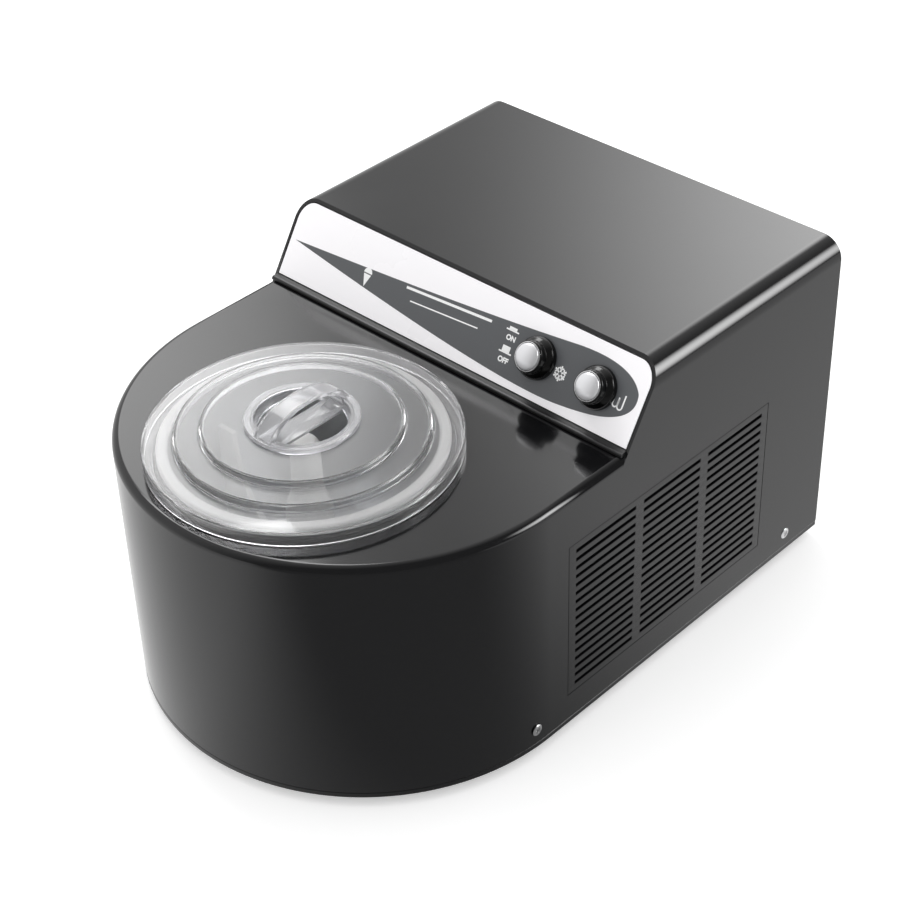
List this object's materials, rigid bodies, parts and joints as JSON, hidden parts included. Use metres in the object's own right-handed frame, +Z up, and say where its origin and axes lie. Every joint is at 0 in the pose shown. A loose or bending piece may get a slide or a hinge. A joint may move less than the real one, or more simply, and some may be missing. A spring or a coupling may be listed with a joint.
{
  "type": "compressor ice-cream maker",
  "caption": "Countertop compressor ice-cream maker: round bowl under a clear stepped lid, sloped control fascia with push buttons, side vents, drive and cooling unit inside.",
  "frame": {"origin": "on the bench, at the middle of the overall box in X and Y", "axes": "+Z up; the rounded bowl end faces -Y and the rear panel faces +Y; +X is the side of the push buttons"},
  "size_m": [0.2918, 0.413, 0.227],
  "materials": {
    "housing_black": "gloss black",
    "trim_black": "satin black moulding",
    "collar_black": "soft black",
    "foot_rubber": "matt rubber",
    "label_silver": "silver-white film with a dark grey leaf shape",
    "button_pearl": "pearl white",
    "clear_plastic": "clear polished moulding",
    "white_plastic": "satin white",
    "bowl_aluminium": "satin anodised",
    "plain_aluminium": "machined",
    "bright_steel": "bright",
    "zinc_steel": "zinc plated",
    "black_enamel": "black enamel",
    "copper_tube": "bright copper",
    "belt_rubber": "ribbed rubber",
    "grey_plastic": "moulded grey",
    "foam_jacket": "insulating foam"
  },
  "bodies": {
    "root": {"housing_shell": "housing_black", "base_tray": "trim_black", "foot_front_right": "foot_rubber", "foot_front_left": "foot_rubber", "foot_rear_right": "foot_rubber", "foot_rear_left": "foot_rubber", "vent_grille_right": "housing_black", "vent_grille_left": "housing_black", "side_screw_right_front": "bright_steel", "side_screw_right_rear": "bright_steel", "side_screw_left_front": "bright_steel", "side_screw_left_rear": "bright_steel", "rear_panel": "trim_black", "rear_screw_low_left": "bright_steel", "rear_screw_low_right": "bright_steel", "rear_screw_high_left": "bright_steel", "rear_screw_high_right": "bright_steel", "power_inlet": "trim_black", "control_fascia": "trim_black", "fascia_label": "label_silver", "cooling_button_collar": "collar_black", "cooling_switch": "grey_plastic", "mixing_button_collar": "collar_black", "mixing_switch": "grey_plastic", "evaporator_pot": "plain_aluminium", "deck_seal": "foot_rubber", "evaporator_coil": "copper_tube", "insulation_jacket": "foam_jacket", "bearing_housing": "plain_aluminium", "upper_bearing": "bright_steel", "lower_bearing": "bright_steel", "drive_belt": "belt_rubber", "drive_motor": "zinc_steel", "motor_bracket": "zinc_steel", "compressor": "black_enamel", "compressor_grommet_front_right": "foot_rubber", "compressor_grommet_front_left": "foot_rubber", "compressor_grommet_rear_right": "foot_rubber", "compressor_grommet_rear_left": "foot_rubber", "start_relay": "trim_black", "condenser": "plain_aluminium", "fan_shroud": "zinc_steel", "fan_motor": "zinc_steel", "discharge_pipe": "copper_tube", "suction_pipe": "copper_tube", "filter_drier": "copper_tube"},
    "cooling_button_body": {"cooling_button": "button_pearl"},
    "mixing_button_body": {"mixing_button": "button_pearl"},
    "shaft_body": {"drive_shaft": "bright_steel", "driven_pulley": "plain_aluminium"},
    "motor_pulley_body": {"motor_pulley": "plain_aluminium"},
    "fan_body": {"condenser_fan": "trim_black"},
    "bowl_body": {"removable_bowl": "bowl_aluminium", "bowl_rim_ring": "white_plastic"},
    "paddle_body": {"mixing_paddle": "white_plastic"},
    "lid_body": {"clear_lid": "clear_plastic"},
    "insert_body": {"lid_insert": "clear_plastic"}
  },
  "joints": [
    {"name": "bowl_lift", "type": "slide", "parent": "root", "child": "bowl_body", "axis": [0, 0, 1], "range_m": [0, 0.13]},
    {"name": "lid_lift", "type": "slide", "parent": "bowl_body", "child": "lid_body", "axis": [0, 0, 1], "range_m": [0, 0.06]},
    {"name": "insert_twist", "type": "hinge", "parent": "lid_body", "child": "insert_body", "pos_m": [0, -0.1075, 0.197], "axis": [0, 0, 1], "range_deg": [0, 45]},
    {"name": "paddle_spin", "type": "hinge", "parent": "bowl_body", "child": "paddle_body", "pos_m": [0, -0.1075, 0.1], "axis": [0, 0, 1], "continuous": true},
    {"name": "shaft_spin", "type": "hinge", "parent": "root", "child": "shaft_body", "pos_m": [0, -0.1075, 0.03], "axis": [0, 0, 1], "continuous": true},
    {"name": "motor_pulley_spin", "type": "hinge", "parent": "root", "child": "motor_pulley_body", "pos_m": [0, 0.0167, 0.03], "axis": [0, 0, 1], "continuous": true},
    {"name": "fan_spin", "type": "hinge", "parent": "root", "child": "fan_body", "pos_m": [0.096, 0.0475, 0.08685], "axis": [1, 0, 0], "continuous": true},
    {"name": "cooling_press", "type": "slide", "parent": "root", "child": "cooling_button_body", "axis": [0, 0.8443, -0.5358], "range_m": [0, 0.003], "stiffness_N_per_m": 300},
    {"name": "mixing_press", "type": "slide", "parent": "root", "child": "mixing_button_body", "axis": [0, 0.8443, -0.5358], "range_m": [0, 0.003], "stiffness_N_per_m": 300}
  ],
  "couplings": [
    {"joint": "paddle_spin", "follows": "shaft_spin", "ratio": 1},
    {"joint": "motor_pulley_spin", "follows": "shaft_spin", "ratio": 4}
  ]
}
